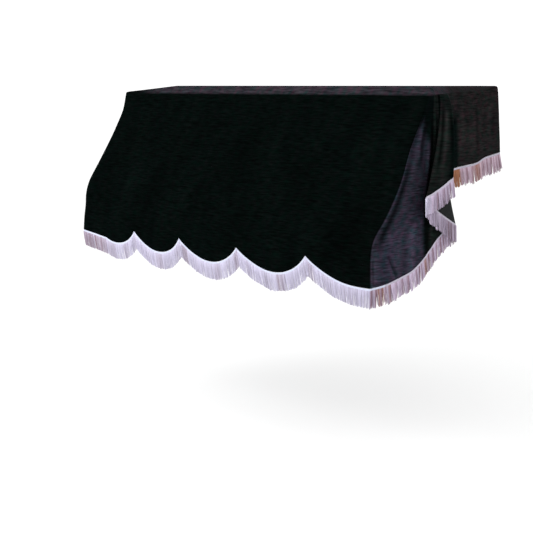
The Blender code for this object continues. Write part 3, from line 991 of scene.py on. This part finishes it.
def strand_colour(distance, place, side, tone, random_source):
    """One strand's colour: painted shade at one side of its bunch, more so on the side drop, and a
    painted highlight where the outer fold turns.
    """
    light = np.array(YARN_LIGHT)
    shade = np.array(YARN_SHADE)
    # Painted shade on the front: at one side of each bunch, in patches along the hem, and more
    # towards the left end. On the side drop the painted shade is stronger and the yarn pinker.
    patch = noise.noise(Vector((distance * 17.0, 3.0, 7.0)))
    if place < -0.99:
        at_left = 1 - smooth((distance - hem_distance[front_start] - 0.09) / 0.15)
        amount = 0.22 * ease(side, 0.5, 1.0) * tone
        amount += 0.34 * ease(patch, 0.06, 0.42) * (0.4 + 0.6 * tone)
        amount += at_left * (0.20 + 0.50 * tone)
        light = light * (1.0 + 0.15 * (1 - tone))
    else:
        amount = 0.10 + (0.32 + 0.62 * tone) * ease(side, 0.35, 0.95)
        light = light * np.array((0.99, 0.88, 0.92)) * (1.22 - 0.40 * tone)
    # Painted highlight on the strands where the outer fold turns, with little painted shade; a
    # little lighter and less shaded on the rest of the outer fold.
    if 12 < place < 19.2:
        amount *= 0.22
        lit = band(place, 16.4, 1.5)
        light = light * (1.08 + np.array((0.36, 0.58, 0.46)) * lit)
    elif 19.2 <= place < 24:
        amount *= 0.72
        light = light * 1.06
    # Painted shade on the strands behind the fold: dimmer and warmer.
    if place > 24:
        light = light * np.array((0.94, 0.86, 0.80))
    colour = light + (shade - light) * min(1.0, amount)
    # Tan over the strands behind the outer fold's edge is a painted shadow; the tan streaks are
    # laid on with it.
    tan = (1 - ease(place, 26.0, 26.4)) * ease(place, 23.8, 24.4)
    for middle, half_width, strength in TAN_STREAKS:
        tan = max(tan, strength * band(place, middle, half_width))
    if place > -0.99:
        colour = colour + (np.array(YARN_TAN) - colour) * tan
    return colour * (1.0 + random_source.uniform(-0.07, 0.07))


def make_strands():
    """The hanging yarn, in two layers, each strand with its own length, sway and tint."""
    points = []
    faces = []
    colours = []
    for pitch, radius, sides, stand_off, shade, strand_rows, seed in STRAND_LAYERS:
        random_source = random.Random(seed)
        edges, loose = bunches(random_source)
        tones = [random_source.random() for edge in edges]
        lengths = [random_source.gauss(0, 0.0011 + 0.0022 * wide) for wide in loose]
        distance = pitch * 0.7
        while distance < hem_length - pitch * 0.5:
            root = on_guide(guide_point, distance)
            down = on_guide(guide_down, distance)
            out = on_guide(guide_out, distance)
            along = on_guide(guide_along, distance)
            place = hem_place(distance)
            bunch = int(np.searchsorted(edges, distance)) - 1
            low = edges[bunch]
            high = edges[bunch + 1]
            centre = (low + high) / 2
            draw = (centre - distance) * random_source.uniform(0.14, 0.30)
            draw *= 1 + 0.7 * loose[bunch]
            at_edge = abs(distance - centre) / (high - low) * 2
            length = STRAND_LENGTH + lengths[bunch] + random_source.gauss(0, 0.0009)
            length += 0.0010 * math.sin(distance * 61) - 0.0022 * at_edge**3
            swing = random_source.gauss(0, 0.0012)
            lift = random_source.uniform(0.0, 0.0016)
            turn = random_source.uniform(0, 6.28)
            lean = strand_lean(root, place)
            across = (distance - low) / (high - low)
            colour = shade * strand_colour(distance, place, across, tones[bunch], random_source)
            start = root + down * STRAND_TOP + out * stand_off
            first = len(points)
            for share in strand_rows:
                middle = start + np.array((0.0, 0.0, -length * share)) + lean * share**1.25
                middle = middle + along * (draw * share**1.4 + swing * share * share)
                middle = middle + out * (lift * math.sin(math.pi * min(share, 0.8)))
                width = radius * (1.0 - 0.25 * share)
                if share == 1.0:
                    width = radius * 0.25
                for side in range(sides):
                    angle = turn + 2 * math.pi * side / sides
                    offset = along * (width * math.cos(angle)) + out * (width * math.sin(angle))
                    points.append(middle + offset)
                    colours.append(colour * (1.10 - 0.11 * min(share * 3, 1.0)))
            rows = len(strand_rows)
            for row in range(rows - 1):
                for side in range(sides):
                    other = (side + 1) % sides
                    a = first + row * sides
                    b = a + sides
                    faces.append((a + side, b + side, b + other, a + other))
            faces.append(tuple(first + (rows - 1) * sides + side for side in range(sides)))
            distance += pitch * random_source.uniform(0.85, 1.15)
    piece = mesh_piece("fringe_strands", points, faces, "fringe")
    set_values(piece.data, "yarn", colours)
    return piece


def yarn_material(name):
    """Soft matt yarn, with a little fuzz and unevenness along it."""
    made, nodes, links, shader = material(name)
    shader.inputs["Roughness"].default_value = 0.85
    shader.inputs["Specular IOR Level"].default_value = 0.15
    shader.inputs["Sheen Weight"].default_value = 0.15
    shader.inputs["Sheen Roughness"].default_value = 0.5
    coordinates = nodes.new("ShaderNodeTexCoord")
    fibre = stretched_noise(nodes, links, coordinates.outputs["Object"], (700.0, 700.0, 260.0), 1.0)
    fibre = stretched(nodes, links, fibre, 0.3, 0.7)
    uneven = mixed(nodes, links, fibre, (0.90, 0.89, 0.91), (1.06, 1.06, 1.06))
    links.new(times(nodes, links, attribute(nodes, "yarn"), uneven), shader.inputs["Base Color"])
    add_bump(nodes, links, shader, fibre, 0.3, 0.0004)
    return made


def stitch_row(name, middles, alongs, outs, size):
    """A row of sewn stitches, each a small flat-ended bead of thread."""
    length, width, height = size
    points = []
    faces = []
    profile = ((-0.5, 0.45, 0.0), (-0.3, 1.0, 1.0), (0.3, 1.0, 1.0), (0.5, 0.45, 0.0))
    for middle, along, out in zip(middles, alongs, outs):
        across = np.cross(out, along)
        first = len(points)
        for place, wide, high in profile:
            centre = middle + along * (length * place)
            points.append(centre - across * (width * wide / 2))
            points.append(centre + out * (height * (0.35 + high)))
            points.append(centre + across * (width * wide / 2))
        for ring in range(len(profile) - 1):
            for side in range(3):
                other = (side + 1) % 3
                a = first + ring * 3
                faces.append((a + side, a + other, a + 3 + other, a + 3 + side))
        faces.append((first + 2, first + 1, first))
        last = first + (len(profile) - 1) * 3
        faces.append((last, last + 1, last + 2))
    return mesh_piece(name, points, faces)


HEADING_STITCH_STEP = 0.0062
HEADING_STITCH = (0.0034, 0.0009, 0.0006)
HEADING_THREAD = (0.66, 0.66, 0.78)
BACK_STITCH_STEP = 0.0070
BACK_STITCH = (0.0048, 0.0009, 0.0005)
THREAD_DARK = (0.010, 0.012, 0.012)
THREAD_LIGHT = (0.034, 0.036, 0.038)


def make_heading_stitches():
    """Thread that holds the heading to the hem, in the groove between its upper cords."""
    distance = np.arange(0.004, hem_length - 0.004, HEADING_STITCH_STEP)
    down = unit(on_guide(guide_down, distance))
    out = unit(on_guide(guide_out, distance))
    middles = on_guide(guide_point, distance) + down * 0.0035 + out * 0.0012
    alongs = unit(on_guide(guide_along, distance))
    piece = stitch_row("heading_stitches", middles, alongs, out, HEADING_STITCH)
    set_values(piece.data, "yarn", [HEADING_THREAD] * len(piece.data.vertices))
    return piece


def make_back_stitches():
    """Dark thread along the turned hem of the back flap."""
    columns = np.arange(fringed, len(sheet))
    line = []
    ways_out = []
    for column in columns:
        heights = from_hem[column, edge_row:][::-1]
        points = sheet[column] + normals[column] * (SHEET_START + SHEET_THICKNESS)
        points = points[edge_row:][::-1]
        line.append([np.interp(BACK_HEM_HEIGHT, heights, points[:, axis]) for axis in range(3)])
        ways_out.append(normals[column, -8])
    line = np.array(line)
    travel = np.concatenate(([0.0], np.cumsum(np.linalg.norm(np.diff(line, axis=0), axis=1))))
    distance = np.arange(0.02, travel[-1] - 0.02, BACK_STITCH_STEP)

    def read(values):
        return np.array([np.interp(distance, travel, values[:, axis]) for axis in range(3)]).T

    middles = read(line)
    alongs = unit(read(np.gradient(line, axis=0)))
    outs = unit(read(np.array(ways_out)))
    piece = stitch_row("hem_stitches", middles, alongs, outs, BACK_STITCH)
    made, nodes, links, shader = material("hem_thread")
    shader.inputs["Roughness"].default_value = 0.6
    coordinates = nodes.new("ShaderNodeTexCoord")
    fibre = stretched_noise(nodes, links, coordinates.outputs["Object"], (900.0, 900.0, 900.0), 1.0)
    links.new(mixed(nodes, links, fibre, THREAD_DARK, THREAD_LIGHT), shader.inputs["Base Color"])
    piece.data.materials.append(made)
    return piece


yarn = yarn_material("fringe_yarn")
heading = make_heading()
strands = make_strands()
heading_stitches = make_heading_stitches()
for piece in (heading, strands, heading_stitches):
    piece.data.materials.append(yarn)
hem_stitches = make_back_stitches()

# Camera.
camera_data = bpy.data.cameras.new("camera")
camera_data.sensor_width = SENSOR_MM
camera_data.lens = FOCAL_PIXELS / PHOTO_PIXELS * SENSOR_MM
camera = bpy.data.objects.new("camera", camera_data)
camera.location = CAMERA_PLACE
camera.rotation_euler = (math.radians(90 - CAMERA_DOWN), 0.0, math.radians(CAMERA_TURN))
bpy.context.scene.collection.objects.link(camera)
bpy.context.scene.camera = camera

# Floor and backdrop, all one white.
FLOOR_REACH = 30
FLOOR_SIGNS = ((-1, -1), (1, -1), (1, 1), (-1, 1))
WORLD_STRENGTH = 1.15
floor_mesh = bpy.data.meshes.new("floor")
floor_corners = [(x * FLOOR_REACH, y * FLOOR_REACH, -FLOOR_DEPTH) for x, y in FLOOR_SIGNS]
floor_mesh.from_pydata(floor_corners, [], [(0, 1, 2, 3)])
floor = bpy.data.objects.new("floor", floor_mesh)
bpy.context.scene.collection.objects.link(floor)
floor_material, _, _, floor_shader = material("floor_white")
floor_shader.inputs["Base Color"].default_value = (0.95, 0.95, 0.95, 1)
floor_shader.inputs["Roughness"].default_value = 0.9
floor_mesh.materials.append(floor_material)

world = bpy.data.worlds.new("studio")
bpy.context.scene.world = world
world.use_nodes = True
world.node_tree.nodes["Background"].inputs["Color"].default_value = (1, 1, 1, 1)
world.node_tree.nodes["Background"].inputs["Strength"].default_value = WORLD_STRENGTH

# One large soft key light, high at the front left.
KEY_PLACE = Vector((-1.6, -3.4, 1.8))
KEY_TARGET = Vector((0, -0.2, -0.3))
KEY_SIZE = 2.6
KEY_WATTS = 80

key_data = bpy.data.lights.new("key", "AREA")
key_data.energy = KEY_WATTS
key_data.size = KEY_SIZE
key = bpy.data.objects.new("key", key_data)
key.location = KEY_PLACE
key.rotation_euler = (KEY_TARGET - KEY_PLACE).to_track_quat("-Z", "Y").to_euler()
bpy.context.scene.collection.objects.link(key)

bpy.context.scene.view_settings.view_transform = "Standard"
